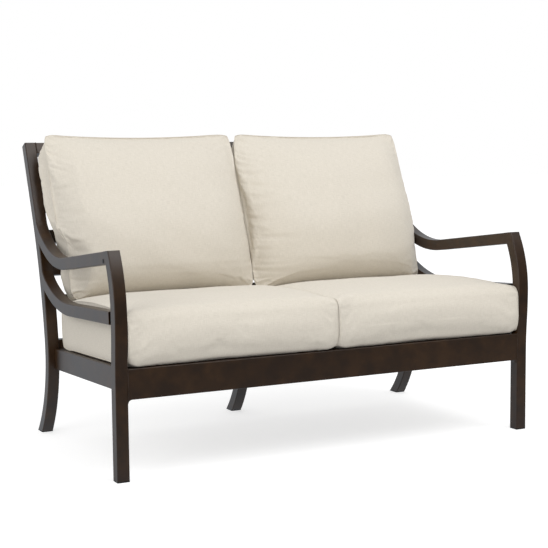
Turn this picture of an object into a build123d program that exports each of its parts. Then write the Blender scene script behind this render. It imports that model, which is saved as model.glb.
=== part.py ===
"""Patio loveseat: a welded aluminium tube frame with four loose cushions.

X runs along the seat, Y from the front to the back, and Z up from the floor.
The pieces are drawn with Y measured from the front face of the front legs and
are moved to the middle of the loveseat's depth when they are written out.
"""
import os
from math import cos, degrees, radians, sin, sqrt, tan

from build123d import *

os.makedirs("parts", exist_ok=True)

# Overall sizes
overall_width = 1340
rail_top = 301            # top of the front and back seat rails above the floor
seat_slope = 2.6          # degrees that the seat falls towards the back

# Frame tube
tube = 35                 # square tube of posts, arms and top rail, outside
tube_corner = 3           # its outside corner radius
bore_corner = 0.5         # corner radius of its bore and of what plugs it
wall = 2.5                # wall of the tubes and rails
glide_height = 4          # plastic foot below each leg
cap_thickness = 3         # plate welded over the top of a post
plug_depth = 20           # how far a foot reaches into its tube
plug_gap = 0.2            # clearance of a plug all round in its tube

# Front post, seen from the side
front_straight = 250      # straight part up from the floor
front_bow_length = 92     # each half of the slight forward bow above it
front_bow_radius = 1211
front_sweep_radius = 343  # backward sweep up to the arm
front_sweep_turn = 34

# Back post, seen from the side
back_foot = 714           # middle of the foot behind the front face of the front legs
back_foot_heading = 131.4
leg_radius = 383          # splayed leg
leg_turn = 48.4
lumbar_radius = 1443      # gentle curve behind the seat
lumbar_turn = 15.7
back_straight = 231       # straight part up to the top

# Arms: where the middle of the tube meets the front post, and its runs to the back
arm_start = 43
upper_arm_height = 594
upper_arm_heading = -6.8
upper_arm_straight = 389
upper_arm_radii = (344, 133)
upper_arm_turns = (44.5, 20)
arm_spacing = 160.4       # lower arm below the upper one at the front post
lower_arm_heading = -2.8
lower_arm_straight = 348
lower_arm_radii = (453, 111)
lower_arm_turns = (30.1, 32)
arm_tail = 40             # straight end that runs into the back post

# Seat frame
front_rail_height = 82
front_rail_depth = 30
back_rail_recess = 3      # behind the front of the back posts
side_rail_height = 63
side_rail_width = 25
centre_rail_height = 50
side_rail_inset = 20      # from the outer face of the legs
seat_slat_width = 45
seat_slat_thickness = 12
seat_slat_wall = 1.5
seat_slat_first = 75      # middle of the first slat behind the front face of the legs
seat_slat_last = 550
seat_slats_per_side = 6
bar_corner = 2            # corner radius of rails and slats

# Ladder back
back_slat_height = 41
back_slat_depth = 20
back_slat_first = 107.5   # from the end of the post down to the middle of the first slat
back_slat_pitch = 101
back_slats = 5

# Hole plugs on the outside of the upper arms
hole_plug_diameter = 9
hole_plug_length = 6
hole_plug_head = 1.2
hole_plug_head_diameter = 12
hole_plug_place = 34      # behind the start of the arm
hole_plug_drop = 8        # below the middle of the arm

# Seat cushions
seat_gap = 0.6            # clearance of a cushion from frame and neighbour
seat_overhang = 12        # in front of the legs
seat_rear_gap = 31.6      # between the cushion and the back rail
seat_thickness = 140      # at the seams
seat_crown = 34
cover_thickness = 14      # cover and the wadding round the foam slab
core_gap = 0.4
core_corner = 25
zip_length_share = 0.7
zip_width = 8
zip_depth = 5

# Back cushions
pillow_rise = 480         # from the seat to the top edge
pillow_depth = 235
pillow_gap = 1.2          # in front of the slats
pillow_lift = 1.8         # above the seat cushion
pillow_follow_share = 0.2  # lowest part of the rise that follows the seat
pillow_core_depth_share = 0.74
pillow_core_rise_share = 0.82
pillow_core_width_share = 0.8
pillow_overlap = 20       # how far it bulges out over the arm
pillow_arm_gap = 8        # above the arm
pillow_bulge_rise = 55    # height over which the bulge comes out
pillow_seam_share = 0.33  # place of the seam in the depth
pillow_pinch_share = 0.25  # place in the rise that stays level towards the pinched sides

half_width = overall_width / 2
inner_half = half_width - tube
sides = {"left": -1, "right": 1}


def turned(point, heading, radius, turn):
    """End point and heading of an arc that leaves a point of the side view."""
    side = 1 if turn > 0 else -1
    start = radians(heading)
    end = radians(heading + turn)
    y = point[0] + side * radius * (sin(end) - sin(start))
    z = point[1] - side * radius * (cos(end) - cos(start))
    return (y, z), heading + turn


def along(point, heading, length):
    """Point that lies a length along a heading of the side view."""
    return point[0] + length * cos(radians(heading)), point[1] + length * sin(radians(heading))


def side_path(point, heading, runs):
    """Wire in the side view made of straight runs (length, 0) and arcs (radius, turn)."""
    edges = []
    for size, turn in runs:
        if turn:
            direction = (cos(radians(heading)), sin(radians(heading)))
            edges.append(JernArc(point, direction, size, turn))
            point, heading = turned(point, heading, size, turn)
        else:
            ahead = along(point, heading, size)
            edges.append(Line(point, ahead))
            point = ahead
    return Plane.YZ * Wire(edges)


def section(point, heading, size, corner):
    """Rounded square whose plane is square to a heading of the side view."""
    direction = (0, cos(radians(heading)), sin(radians(heading)))
    square = Plane(origin=(0, point[0], point[1]), x_dir=(1, 0, 0), z_dir=direction)
    return square * RectangleRounded(size, size, corner)


def bar(point, heading, runs, inset=0):
    """Solid bar along a side view path: a tube's outside, or what fills its bore at an inset."""
    corner = bore_corner if inset else tube_corner
    shape = section(point, heading, tube - 2 * inset, corner)
    return sweep(shape, path=side_path(point, heading, runs))


def rail(length, height, depth, corner=bar_corner, thickness=wall):
    """Straight rectangular tube along X, centred."""
    outer = extrude(Plane.YZ * RectangleRounded(depth, height, corner), length / 2, both=True)
    bore = RectangleRounded(depth - 2 * thickness, height - 2 * thickness, corner / 2)
    return outer - extrude(Plane.YZ * bore, length / 2, both=True)


def below(height):
    """Block that holds everything below a height."""
    reach = 2 * overall_width
    return Pos(0, 0, height - reach / 2) * Box(reach, reach, reach)


# Front posts: the arm's top plane cuts them off
front_middle = (tube / 2, 0)
front_runs = [
    (front_straight, 0),
    (front_bow_radius, degrees(front_bow_length / front_bow_radius)),
    (front_bow_radius, -degrees(front_bow_length / front_bow_radius)),
    (front_sweep_radius, -front_sweep_turn),
]
front_outer = bar(front_middle, 90, front_runs)
front_bore = bar(front_middle, 90, front_runs, inset=wall)
front_plug = bar(front_middle, 90, front_runs, inset=wall + plug_gap)
arm_middle = (arm_start, upper_arm_height)
lower_arm_height = upper_arm_height - arm_spacing


def under_arm_top(drop):
    """Half space under the plane of the upper arm's top face, lowered by a drop."""
    reach = 2 * overall_width
    middle = along(arm_middle, upper_arm_heading + 90, tube / 2 - drop - reach / 2)
    return Pos(0, middle[0], middle[1]) * Rot(upper_arm_heading, 0, 0) * Box(reach, reach, reach)


front_shell = (front_outer - front_bore) & under_arm_top(cap_thickness)
front_post = front_shell - below(glide_height)
front_cap = (front_outer & under_arm_top(0)) - under_arm_top(cap_thickness)

# Back posts: cut square at the top and level at the floor
back_middle = (back_foot, 0)
back_runs = [(leg_radius, -leg_turn), (lumbar_radius, -lumbar_turn), (back_straight, 0)]
leg_end, leg_heading = turned(back_middle, back_foot_heading, leg_radius, -leg_turn)
lumbar_end, back_heading = turned(leg_end, leg_heading, lumbar_radius, -lumbar_turn)
back_top = along(lumbar_end, back_heading, back_straight)
back_centre_y = leg_end[0] + lumbar_radius * sin(radians(leg_heading))
back_centre_z = leg_end[1] - lumbar_radius * cos(radians(leg_heading))
foot_tail = along(back_middle, back_foot_heading + 180, tube)
foot_runs = [(tube, 0)] + back_runs
back_outer = bar(foot_tail, back_foot_heading, foot_runs) - below(0)
back_bore = bar(foot_tail, back_foot_heading, foot_runs, inset=wall)
back_plug = bar(foot_tail, back_foot_heading, foot_runs, inset=wall + plug_gap)
top_cut = Plane(
    origin=(0, back_top[0], back_top[1]),
    x_dir=(1, 0, 0),
    z_dir=(0, cos(radians(back_heading)), sin(radians(back_heading))),
)


def beyond_top(drop):
    """Block that holds everything beyond the end of the back post less a drop."""
    reach = overall_width
    return top_cut * Pos(0, 0, reach / 2 - drop) * Box(reach, reach, reach)


back_shell = back_outer - back_bore - beyond_top(cap_thickness)
back_post = back_shell - below(glide_height)
back_cap = back_outer & beyond_top(cap_thickness)


def back_place(distance):
    """Middle and heading of the back post at a distance down from its end."""
    if distance <= back_straight:
        return along(back_top, back_heading + 180, distance), back_heading
    turn = degrees((distance - back_straight) / lumbar_radius)
    return turned(lumbar_end, back_heading + 180, lumbar_radius, turn)[0], back_heading + turn


def back_front(height, gap=0):
    """Y of the front of the back posts at a height, less a gap square to them."""
    offset = tube / 2 + gap
    reach = lumbar_radius + offset
    joint_z = back_centre_z + reach * cos(radians(back_heading))
    if height <= joint_z:
        return back_centre_y - sqrt(reach ** 2 - (height - back_centre_z) ** 2)
    joint_y = back_centre_y - reach * sin(radians(back_heading))
    return joint_y + (height - joint_z) / tan(radians(back_heading))


def glide(outer, plug):
    """Plastic foot: a pad with the outline of its leg and a stem up the bore."""
    pad = outer & below(glide_height)
    stem = (plug & below(glide_height + plug_depth)) - below(glide_height)
    return pad + stem


# Centre back leg: the same curve, from the back rail down
centre_leg = (back_outer - back_bore) & below(rail_top - front_rail_height)
centre_leg = centre_leg - below(glide_height)
front_glide = glide(front_outer, front_plug)
back_glide = glide(back_outer, back_plug)

# Arms: coped to the front post and run into the back post
posts_outer = front_outer + back_outer


def keep_largest(shape):
    """Largest solid of a shape, without the offcuts inside a post."""
    return max(shape.solids(), key=lambda solid: solid.volume)


def arm(height, heading, straight, radii, turns):
    """Arm tube between the posts."""
    runs = [(straight, 0)] + list(zip(radii, turns)) + [(arm_tail, 0)]
    outer = bar((arm_start, height), heading, runs) - posts_outer
    bore = bar((arm_start, height), heading, runs, inset=wall)
    return keep_largest(outer - bore)


upper_arm = arm(upper_arm_height, upper_arm_heading, upper_arm_straight, upper_arm_radii, upper_arm_turns)
lower_arm = arm(lower_arm_height, lower_arm_heading, lower_arm_straight, lower_arm_radii, lower_arm_turns)
plug_place = along(arm_middle, upper_arm_heading, hole_plug_place)
plug_place = along(plug_place, upper_arm_heading - 90, hole_plug_drop)


def outward(side, piece):
    """Turn a piece drawn along Z to point out of an arm at its screw hole."""
    return Pos(side * half_width, plug_place[0], plug_place[1]) * Rot(0, side * 90, 0) * piece


def hole_plug(gap=0):
    """Plug that closes the screw hole on the outside of an upper arm."""
    shank = Pos(0, 0, -hole_plug_length / 2) * Cylinder(hole_plug_diameter / 2 + gap, hole_plug_length)
    head = Pos(0, 0, hole_plug_head / 2) * Cylinder(hole_plug_head_diameter / 2, hole_plug_head)
    head = fillet(head.edges().sort_by(Axis.Z)[-1], hole_plug_head / 2)
    return shank + head


# Seat frame
slope = radians(seat_slope)


def deck_height(y):
    """Height of the seat deck, which falls back from the rear edge of the front rail."""
    return rail_top - (y - front_rail_depth) * tan(slope)


def deck_box(length, y, width, thickness, corner=bar_corner, inside=wall):
    """Tube along X whose top lies in the seat deck."""
    shape = rail(length, thickness, width, corner, inside)
    return Pos(0, y, deck_height(y)) * Rot(-seat_slope, 0, 0) * Pos(0, 0, -thickness / 2) * shape


def bearer(width, height, start, end):
    """Tube along Y whose top lies in the seat deck."""
    middle = (start + end) / 2
    length = (end - start) / cos(slope)
    profile = Plane.XZ * RectangleRounded(width, height, bar_corner)
    bore = Plane.XZ * RectangleRounded(width - 2 * wall, height - 2 * wall, bar_corner / 2)
    shape = extrude(profile, length / 2, both=True) - extrude(bore, length / 2, both=True)
    return Pos(0, middle, deck_height(middle)) * Rot(-seat_slope, 0, 0) * Pos(0, 0, -height / 2) * shape


front_rail_length = overall_width - 2 * tube
rail_middle = rail_top - front_rail_height / 2
front_rail = Pos(0, front_rail_depth / 2, rail_middle) * rail(front_rail_length, front_rail_height, front_rail_depth)
back_rail_front = leg_end[0] - tube / 2 + back_rail_recess
back_rail_middle = back_rail_front + front_rail_depth / 2
back_rail = Pos(0, back_rail_middle, rail_middle) * rail(front_rail_length, front_rail_height, front_rail_depth)

side_rail = keep_largest(bearer(side_rail_width, side_rail_height, 0, back_foot) - posts_outer)
side_rail_middle = half_width - side_rail_inset - side_rail_width / 2
centre_rail = bearer(side_rail_width, centre_rail_height, 0, back_foot)
between_rails = Pos(0, (front_rail_depth + back_rail_front) / 2, rail_middle) * Box(
    overall_width, back_rail_front - front_rail_depth, overall_width
)
centre_rail = centre_rail & between_rails
seat_slat_length = side_rail_middle - side_rail_width
seat_slat_step = (seat_slat_last - seat_slat_first) / (seat_slats_per_side - 1)


def slat(length, height, depth, place):
    """Slat of the back, its front flush with the posts' front."""
    (y, z), heading = back_place(place)
    shift = (tube - depth) / 2
    return Pos(0, y, z) * Rot(heading - 90, 0, 0) * Pos(0, -shift, 0) * rail(length, height, depth)


top_rail = slat(front_rail_length, tube, tube, tube / 2)

# Seat cushions: outline points as shares of length and of thickness, and of the crown
seat_length = seat_overhang + back_rail_front - seat_rear_gap
seat_outline_shares = [
    (0.055, 0.0, 0), (0.945, 0.0, 0), (0.975, 0.03, 0), (0.99, 0.16, 0), (1.0, 0.5, 0), (0.992, 0.84, 0),
    (0.978, 0.96, 0.03), (0.94, 1.0, 0.15), (0.52, 1.0, 1), (0.11, 1.0, 0.45), (0.045, 0.95, 0.2),
    (0.012, 0.78, 0.05), (0.0, 0.46, 0), (0.01, 0.16, 0), (0.022, 0.035, 0),
]
# Across the width: place of each section, how full it is, and its part of the crown
seat_station_shares = [
    (-0.5, 0.985, 0.68), (-0.485, 0.989, 0.73), (-0.43, 0.995, 0.84), (-0.3, 0.999, 0.95), (0.0, 1.0, 1.0),
    (0.3, 0.999, 0.95), (0.43, 0.995, 0.84), (0.485, 0.989, 0.73), (0.5, 0.985, 0.68),
]


def ring(points, middle=None):
    """Face bounded by arcs through every second point, after a line or an arc underneath."""
    edges = [ThreePointArc(points[0], middle, points[1]) if middle else Line(points[0], points[1])]
    rest = points[1:] + points[:1]
    for first, between, last in zip(rest[0:-2:2], rest[1:-1:2], rest[2::2]):
        edges.append(ThreePointArc(first, between, last))
    return make_face(edges)


def seat_form():
    """Crowned seat cushion on its flat underside, its front at Y zero."""
    faces = []
    for place, full, high in seat_station_shares:
        points = []
        for length_share, up_share, crown_share in seat_outline_shares:
            y = seat_length * (0.5 + (length_share - 0.5) * full)
            points.append((y, seat_thickness * up_share * full + seat_crown * crown_share * high))
        faces.append(Plane.YZ.offset(place * seat_width) * ring(points))
    return loft(faces)


def seat_slab(inset):
    """Foam slab inside the cover, drawn in by an inset."""
    size = (seat_width - 2 * inset, seat_length - 2 * inset, seat_thickness - 2 * inset)
    slab = fillet(Box(*size).edges(), core_corner)
    return Pos(0, seat_length / 2, seat_thickness / 2) * slab


seat_width = inner_half - seat_gap - seat_gap / 2
seat_middle = (inner_half - seat_gap + seat_gap / 2) / 2
seat_rest = deck_height(-seat_overhang) + seat_gap
seat_zip_box = Pos(0, seat_length, seat_thickness / 2) * Box(
    seat_width * zip_length_share, 2 * zip_depth, zip_width
)
seat_outer = seat_form()
seat_zip = seat_outer & seat_zip_box
seat_cover = seat_outer - seat_slab(cover_thickness) - seat_zip_box
seat_core = seat_slab(cover_thickness + core_gap)


def on_seat(piece, side):
    """Lay a seat cushion's piece on the deck."""
    return Pos(side * seat_middle, -seat_overhang, seat_rest) * Rot(-seat_slope, 0, 0) * piece


def seat_top(y):
    """Height of the crown of a seat cushion at its middle, at a place behind the legs' front."""
    crowns = [crown_share for length_share, up_share, crown_share in seat_outline_shares]
    top = crowns.index(max(crowns))
    rear, crest, front = seat_outline_shares[top - 1:top + 2]
    up = seat_thickness + seat_crown
    place = ((y + seat_overhang) / cos(slope) - up * tan(slope)) / seat_length
    high = (
        rear[2] * (place - crest[0]) * (place - front[0]) / ((rear[0] - crest[0]) * (rear[0] - front[0]))
        + crest[2] * (place - rear[0]) * (place - front[0]) / ((crest[0] - rear[0]) * (crest[0] - front[0]))
        + front[2] * (place - rear[0]) * (place - crest[0]) / ((front[0] - rear[0]) * (front[0] - crest[0]))
    )
    return seat_rest - place * seat_length * sin(slope) + (seat_thickness + seat_crown * high) * cos(slope)


# Back cushions: outline points as shares of depth in front of the slats and of rise
pillow_outline_shares = [
    (0.28, 0.0), (0.68, 0.0), (0.87, 0.035), (0.965, 0.13), (1.0, 0.3), (0.98, 0.47),
    (0.90, 0.70), (0.75, 0.87), (0.58, 0.955), (0.34, 1.0), (0.17, 0.975),
    (0.03, 0.86), (0.013, 0.70), (0.0, 0.5), (0.0, 0.3), (0.0, 0.13), (0.08, 0.03),
]
pillow_station_shares = [
    (-0.5, 0.10, 0.955), (-0.485, 0.40, 0.98), (-0.43, 0.75, 1.0), (-0.3, 0.96, 1.0), (0.0, 1.0, 0.985),
    (0.3, 0.96, 1.0), (0.43, 0.75, 1.0), (0.485, 0.40, 0.98), (0.5, 0.10, 0.955),
]
pillow_seat = seat_top(back_front(rail_top + seat_thickness) - pillow_depth / 2)


def pillow_face(thick, tall):
    """Side view of a back cushion, pinched towards its seam."""
    points = []
    for depth_share, rise_share in pillow_outline_shares:
        front = pillow_seam_share + (depth_share - pillow_seam_share) * thick
        z = pillow_seat + pillow_rise * (pillow_pinch_share + (rise_share - pillow_pinch_share) * tall)
        follow = max(0, 1 - rise_share / pillow_follow_share)
        z += follow * (seat_top(back_front(z) - pillow_depth * front) - pillow_seat + pillow_lift)
        points.append((back_front(z, pillow_gap) - pillow_depth * front, z))
    middle_y = (points[0][0] + points[1][0]) / 2
    lift = pillow_rise * pillow_pinch_share * (1 - tall) + pillow_lift
    return ring(points, (middle_y, seat_top(middle_y) + lift))


# A back cushion stands inside the arms and bulges out over them
pillow_width = seat_width + pillow_overlap
pillow_middle = seat_middle + pillow_overlap / 2
bulge_start = upper_arm.bounding_box().max.Z + pillow_arm_gap
beside_arm = seat_middle + seat_width / 2 - pillow_middle
arm_room = Polyline(
    (beside_arm, 0),
    (beside_arm, bulge_start),
    (beside_arm + 2 * pillow_overlap, bulge_start + 2 * pillow_bulge_rise),
    (beside_arm + 2 * pillow_overlap, 0),
    close=True,
)
pillow_outer = loft([
    Plane.YZ.offset(place * pillow_width) * pillow_face(thick, tall)
    for place, thick, tall in pillow_station_shares
]) - extrude(Plane.XZ * make_face(arm_room), overall_width, both=True)


def pillow_insert(inset):
    """Fibre insert inside the cover, drawn in by an inset."""
    face = pillow_face(pillow_core_depth_share, pillow_core_rise_share)
    if inset:
        face = offset(face, -inset)
    half = pillow_width * pillow_core_width_share / 2 - inset
    return extrude(Plane.YZ * face, half, both=True)


pillow_zip_y = back_front(pillow_seat) - pillow_depth / 2
pillow_zip_box = Pos(0, pillow_zip_y, seat_top(pillow_zip_y)) * Box(
    pillow_width * zip_length_share, zip_width, 2 * zip_depth
)
pillow_zip = pillow_outer & pillow_zip_box
pillow_cover = pillow_outer - pillow_insert(0) - pillow_zip_box
pillow_core = pillow_insert(core_gap)


def on_back(piece, side):
    """Stand a back cushion's piece beside its neighbour: drawn for the right, mirrored for the left."""
    placed = Pos(pillow_middle, 0, 0) * piece
    return placed if side > 0 else mirror(placed, about=Plane.YZ)



# Origin in the middle of the depth, which the seat cushions' fullest line starts
fullest_share = min(seat_outline_shares)[1]
front_most = -seat_overhang + seat_thickness * fullest_share * sin(slope)
rear_most = back_top[0] + tube / 2 * sin(radians(back_heading))
depth_middle = (front_most + rear_most) / 2


def write(name, shape):
    """Write a node with the origin in the middle of the depth."""
    export_step(Pos(0, -depth_middle, 0) * shape, f"parts/{name}.step")


for name, side in sides.items():
    post_x = side * (half_width - tube / 2)
    write(f"{name}_front_post", Pos(post_x, 0, 0) * front_post)
    write(f"{name}_front_post_cap", Pos(post_x, 0, 0) * front_cap)
    write(f"{name}_front_glide", Pos(post_x, 0, 0) * front_glide)
    write(f"{name}_back_post", Pos(post_x, 0, 0) * back_post)
    write(f"{name}_back_post_cap", Pos(post_x, 0, 0) * back_cap)
    write(f"{name}_back_glide", Pos(post_x, 0, 0) * back_glide)
    write(f"{name}_upper_arm", Pos(post_x, 0, 0) * upper_arm - outward(side, hole_plug(plug_gap)))
    write(f"{name}_lower_arm", Pos(post_x, 0, 0) * lower_arm)
    write(f"{name}_side_rail", Pos(side * side_rail_middle, 0, 0) * side_rail)
    for index in range(seat_slats_per_side):
        place = seat_slat_first + index * seat_slat_step
        shape = deck_box(seat_slat_length, place, seat_slat_width, seat_slat_thickness, inside=seat_slat_wall)
        write(f"{name}_seat_slat_{index + 1}", Pos(side * side_rail_middle / 2, 0, 0) * shape)
    write(f"{name}_seat_cushion_cover", on_seat(seat_cover, side))
    write(f"{name}_seat_cushion_zip", on_seat(seat_zip, side))
    write(f"{name}_seat_cushion_core", on_seat(seat_core, side))
    write(f"{name}_back_cushion_cover", on_back(pillow_cover, side))
    write(f"{name}_back_cushion_zip", on_back(pillow_zip, side))
    write(f"{name}_back_cushion_core", on_back(pillow_core, side))

write("centre_back_leg", centre_leg)
write("centre_back_glide", back_glide)
write("front_rail", front_rail)
write("back_rail", back_rail)
write("centre_rail", centre_rail)
write("top_back_rail", top_rail)
for index in range(back_slats):
    shape = slat(front_rail_length, back_slat_height, back_slat_depth, back_slat_first + index * back_slat_pitch)
    write(f"back_slat_{index + 1}", shape)
write("arm_hole_plugs", Compound([outward(side, hole_plug()) for side in sides.values()]))
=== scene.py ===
import bmesh
import bpy
import numpy as np
from mathutils import Matrix, Vector
from mathutils.geometry import convex_hull_2d


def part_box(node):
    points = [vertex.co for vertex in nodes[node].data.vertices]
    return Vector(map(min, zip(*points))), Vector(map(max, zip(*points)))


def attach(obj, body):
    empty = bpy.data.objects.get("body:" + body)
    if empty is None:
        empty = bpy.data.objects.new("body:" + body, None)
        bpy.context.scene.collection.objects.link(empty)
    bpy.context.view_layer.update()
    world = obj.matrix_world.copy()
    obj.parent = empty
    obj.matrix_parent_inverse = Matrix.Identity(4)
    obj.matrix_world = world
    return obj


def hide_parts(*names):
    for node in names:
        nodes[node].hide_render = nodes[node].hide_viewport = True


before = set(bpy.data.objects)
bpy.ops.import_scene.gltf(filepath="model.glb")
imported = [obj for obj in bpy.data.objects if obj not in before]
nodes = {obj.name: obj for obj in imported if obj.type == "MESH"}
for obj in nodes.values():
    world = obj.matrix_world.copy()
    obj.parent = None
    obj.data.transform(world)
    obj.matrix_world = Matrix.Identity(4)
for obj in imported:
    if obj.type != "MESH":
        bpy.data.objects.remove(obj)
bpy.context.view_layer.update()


# Welded frame: posts, arms, rails and slats of aluminium tube, blasted and sprayed
# with a dark bronze polyester powder that bakes to a satin skin with fine orange peel.
def srgb(code):
    """Linear RGBA of an sRGB hex code such as #2e2119."""
    channel = np.array([int(code[i:i + 2], 16) for i in (1, 3, 5)]) / 255
    linear = np.where(channel <= 0.04045, channel / 12.92, ((channel + 0.055) / 1.055) ** 2.4)
    return (*(float(value) for value in linear), 1.0)


def add_node(material, kind, inputs=None, **settings):
    """New shader node with its settings, its inputs given as values or as other nodes' sockets."""
    node = material.node_tree.nodes.new(kind)
    for name, value in settings.items():
        setattr(node, name, value)
    for name, value in (inputs or {}).items():
        if isinstance(value, bpy.types.NodeSocket):
            material.node_tree.links.new(value, node.inputs[name])
        else:
            node.inputs[name].default_value = value
    return node


def connect(material, output, target):
    """Join an output socket to an input socket."""
    material.node_tree.links.new(output, target)


def new_finish(name):
    """Empty node material and its surface shader, joined to the output."""
    material = bpy.data.materials.new(name)
    material.use_nodes = True
    material.node_tree.nodes.clear()
    shader = add_node(material, "ShaderNodeBsdfPrincipled")
    add_node(material, "ShaderNodeOutputMaterial", {"Surface": shader.outputs["BSDF"]})
    return material, shader


def shades(material, value, *stops):
    """Colour ramp over a value; each stop is a place from 0 to 1 and an sRGB code."""
    ramp = add_node(material, "ShaderNodeValToRGB", {"Fac": value})
    while len(ramp.color_ramp.elements) < len(stops):
        ramp.color_ramp.elements.new(0.5)
    for element, (place, code) in zip(ramp.color_ramp.elements, stops):
        element.position = place
        element.color = srgb(code)
    return ramp.outputs["Color"]


def dark_bronze_powder_coat():
    """Baked polyester powder: satin, so side faces mirror the bright studio softly, with a
    cloudy brown shade 40 to 70 mm across, orange peel of 2 mm and a fine grain."""
    material, shader = new_finish("dark_bronze_powder_coat")
    place = add_node(material, "ShaderNodeTexCoord").outputs["Object"]
    cloud = add_node(material, "ShaderNodeTexNoise",
                     {"Vector": place, "Scale": 18.0, "Detail": 4.0, "Roughness": 0.6})
    colour = shades(material, cloud.outputs["Fac"], (0.36, "#2a1a0b"), (0.52, "#321f0c"), (0.68, "#3a250f"))
    connect(material, colour, shader.inputs["Base Color"])
    grain = add_node(material, "ShaderNodeTexNoise", {"Vector": place, "Scale": 900.0, "Detail": 2.0})
    gloss = add_node(material, "ShaderNodeMapRange",
                     {"Value": grain.outputs["Fac"], "To Min": 0.3, "To Max": 0.42})
    connect(material, gloss.outputs["Result"], shader.inputs["Roughness"])
    peel = add_node(material, "ShaderNodeTexNoise", {"Vector": place, "Scale": 420.0, "Detail": 2.0})
    bump = add_node(material, "ShaderNodeBump",
                    {"Height": peel.outputs["Fac"], "Strength": 0.12, "Distance": 0.0006})
    connect(material, bump.outputs["Normal"], shader.inputs["Normal"])
    shader.inputs["IOR"].default_value = 1.5
    return material


powder_coat = dark_bronze_powder_coat()
for name, node in nodes.items():
    node.data.materials.clear()
    node.data.materials.append(powder_coat)


# Weld beads: each rail and slat is welded all round where it meets a post, and the front
# rail's lower corners are filled out to a 10 mm hollow. The bead is coated with the frame.
def points_of(mesh):
    """Vertex positions as an array."""
    points = np.empty(len(mesh.vertices) * 3)
    mesh.vertices.foreach_get("co", points)
    return points.reshape(-1, 3)


def smooth_object(name, points, faces, pattern, material):
    """Smooth mesh object in one material, its normals turned outwards. The flat pattern has a row
    for each corner of the faces."""
    mesh = bpy.data.meshes.new(name)
    mesh.from_pydata(points.tolist(), [], faces)
    layer = mesh.uv_layers.new(name="flat_pattern")
    layer.data.foreach_set("uv", pattern.astype(np.float32).ravel())
    mesh.polygons.foreach_set("use_smooth", np.ones(len(mesh.polygons), bool))
    work = bmesh.new()
    work.from_mesh(mesh)
    bmesh.ops.recalc_face_normals(work, faces=work.faces)
    work.to_mesh(mesh)
    work.free()
    mesh.materials.append(material)
    piece = bpy.data.objects.new(name, mesh)
    bpy.context.scene.collection.objects.link(piece)
    return piece


def lengths_along(path):
    """Length of a path from its start to each of its points."""
    return np.concatenate([[0], np.cumsum(np.linalg.norm(np.diff(path, axis=0), axis=1))])


def ribs(name, loops, radius, body, material, sides=6):
    """Closed tubes that ride on a body, along closed loops of points p with outward directions n:
    the ring at a point is p + r (cos a n + sin a (t x n)), t being the loop's direction there."""
    points, faces, pattern, start = [], [], [], 0
    for path, out in loops:
        along = np.roll(path, -1, axis=0) - np.roll(path, 1, axis=0)
        along /= np.linalg.norm(along, axis=1, keepdims=True)
        out = out - along * np.sum(out * along, axis=1, keepdims=True)
        out /= np.linalg.norm(out, axis=1, keepdims=True)
        cross = np.cross(along, out)
        angle = np.arange(sides) * 2 * np.pi / sides
        ring = np.cos(angle)[:, None] * out[:, None] + np.sin(angle)[:, None] * cross[:, None]
        count = len(path)
        row, column = np.meshgrid(np.arange(count), np.arange(sides), indexing="ij")
        next_row, next_column = (row + 1) % count, (column + 1) % sides
        quads = np.stack([row * sides + column, row * sides + next_column,
                          next_row * sides + next_column, next_row * sides + column], axis=-1)
        along_path, round_ring = np.broadcast_arrays(lengths_along(path)[:, None], angle[None, :] * radius)
        points.append((path[:, None] + radius * ring).reshape(-1, 3))
        faces.append(start + quads.reshape(-1, 4))
        pattern.append(np.dstack([along_path, round_ring]).reshape(-1, 2))
        start += count * sides
    faces = np.vstack(faces)
    corner_pattern = np.vstack(pattern)[faces.ravel()]
    piece = smooth_object(name, np.vstack(points), faces.tolist(), corner_pattern, material)
    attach(piece, body)
    return piece


def evenly(path, step):
    """Points of a path, taken again at even steps of its length."""
    length = lengths_along(path)
    even = np.linspace(0, length[-1], int(length[-1] / step) + 1)
    return np.column_stack([np.interp(even, length, path[:, k]) for k in range(3)])


def end_bead(name, axis, way, step=0.0008, sunk=0.0004, ripple_height=0.00035):
    """Rippled loop round a bar's end face: the hull of the points at its end, at even steps, sunk
    a little and moved out by h cos(2 pi s / 4 steps)."""
    points = points_of(nodes[name].data)
    reach = (points[:, axis] * way).max()
    face = points[points[:, axis] * way > reach - 1.5 * sunk]
    flat = np.delete(face, axis, axis=1)
    corners = face[convex_hull_2d([Vector(place) for place in flat.tolist()])]
    path = evenly(np.vstack([corners, corners[:1]]), step)[:-1]
    path[:, axis] = way * (reach - sunk)
    out = path - path.mean(axis=0)
    out /= np.linalg.norm(out, axis=1, keepdims=True)
    ripple = ripple_height * np.cos(2 * np.pi * np.arange(len(path)) / 4)
    return path + (ripple[:, None] - sunk) * out, out


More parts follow.
